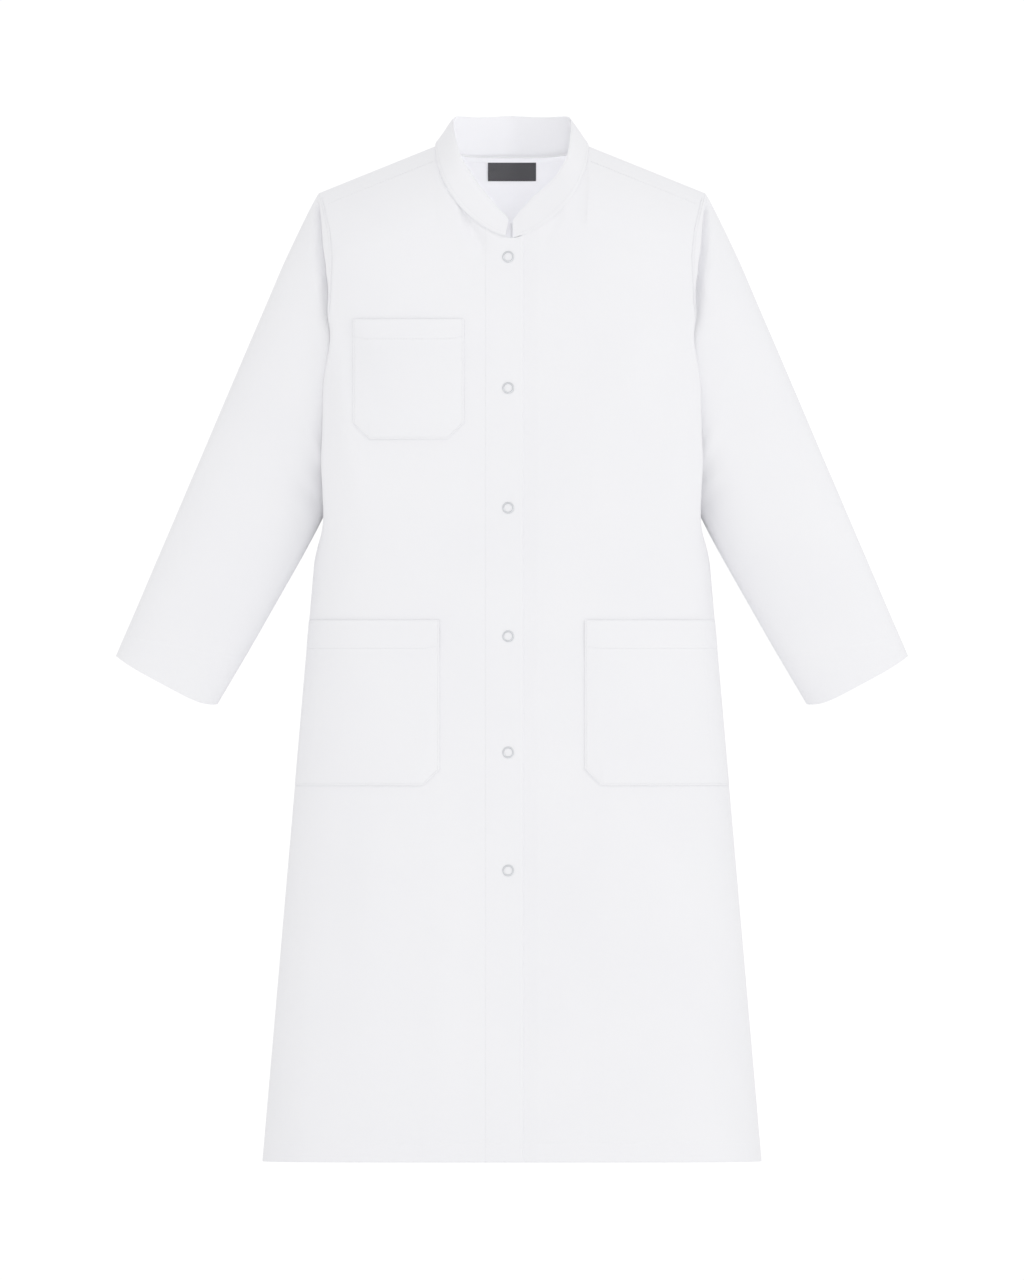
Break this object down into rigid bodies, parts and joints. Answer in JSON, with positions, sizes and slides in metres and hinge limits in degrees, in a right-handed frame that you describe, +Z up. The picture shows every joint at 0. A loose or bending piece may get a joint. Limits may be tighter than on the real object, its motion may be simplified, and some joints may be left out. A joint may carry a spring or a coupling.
{
  "type": "lab coat",
  "caption": "White knee-length laboratory coat with a stand collar, ring-snap front, long sleeves, a chest pocket and two lower patch pockets.",
  "frame": {"origin": "middle of the neck opening at the height of the neck points, where a hanger's hook rises and a wearer's neck passes", "axes": "+Z up, -Y the front of the coat, +X the wearer's left"},
  "size_m": [0.8376, 0.2375, 1.1098],
  "materials": {
    "cloth": "matte",
    "label": "matte",
    "snap_metal": "satin"
  },
  "bodies": {
    "coat_body": {"back_panel_right": "cloth", "back_panel_left": "cloth", "front_panel_right": "cloth", "front_panel_left": "cloth", "back_neck_facing": "cloth", "neck_label": "label", "collar_outer_back": "cloth", "collar_inner_back": "cloth", "chest_pocket": "cloth", "lower_pocket_right": "cloth", "lower_pocket_left": "cloth"},
    "right_front": {"front_edge_right": "cloth", "facing_right": "cloth", "collar_outer_right": "cloth", "collar_inner_right": "cloth", "snap_rings": "snap_metal", "snap_sockets": "snap_metal"},
    "left_front": {"front_edge_left": "cloth", "facing_left": "cloth", "collar_outer_left": "cloth", "collar_inner_left": "cloth", "snap_studs": "snap_metal", "snap_stud_rings": "snap_metal"},
    "right_upper_sleeve": {"upper_sleeve_right": "cloth"},
    "right_forearm_sleeve": {"lower_sleeve_right": "cloth"},
    "left_upper_sleeve": {"upper_sleeve_left": "cloth"},
    "left_forearm_sleeve": {"lower_sleeve_left": "cloth"}
  },
  "joints": [
    {"name": "right_front_fold", "type": "hinge", "parent": "coat_body", "child": "right_front", "pos_m": [-0.03, -0.084, -0.072], "axis": [-0.0649, -0.036, -0.9972], "range_deg": [0, 150]},
    {"name": "left_front_fold", "type": "hinge", "parent": "coat_body", "child": "left_front", "pos_m": [0.03, -0.084, -0.072], "axis": [-0.0649, 0.036, 0.9972], "range_deg": [0, 45]},
    {"name": "right_arm_raise", "type": "hinge", "parent": "coat_body", "child": "right_upper_sleeve", "pos_m": [-0.2065, 0, -0.049], "axis": [0, 1, 0], "range_deg": [0, 45]},
    {"name": "left_arm_raise", "type": "hinge", "parent": "coat_body", "child": "left_upper_sleeve", "pos_m": [0.2065, 0, -0.049], "axis": [0, -1, 0], "range_deg": [0, 45]},
    {"name": "right_elbow_bend", "type": "hinge", "parent": "right_upper_sleeve", "child": "right_forearm_sleeve", "pos_m": [-0.25892, 0, -0.34438], "axis": [-0.8565, 0, 0.5161], "range_deg": [0, 65]},
    {"name": "left_elbow_bend", "type": "hinge", "parent": "left_upper_sleeve", "child": "left_forearm_sleeve", "pos_m": [0.25892, 0, -0.34438], "axis": [-0.8565, 0, -0.5161], "range_deg": [0, 65]}
  ],
  "couplings": [
    {"joint": "left_front_fold", "follows": "right_front_fold", "ratio": 0.3}
  ]
}
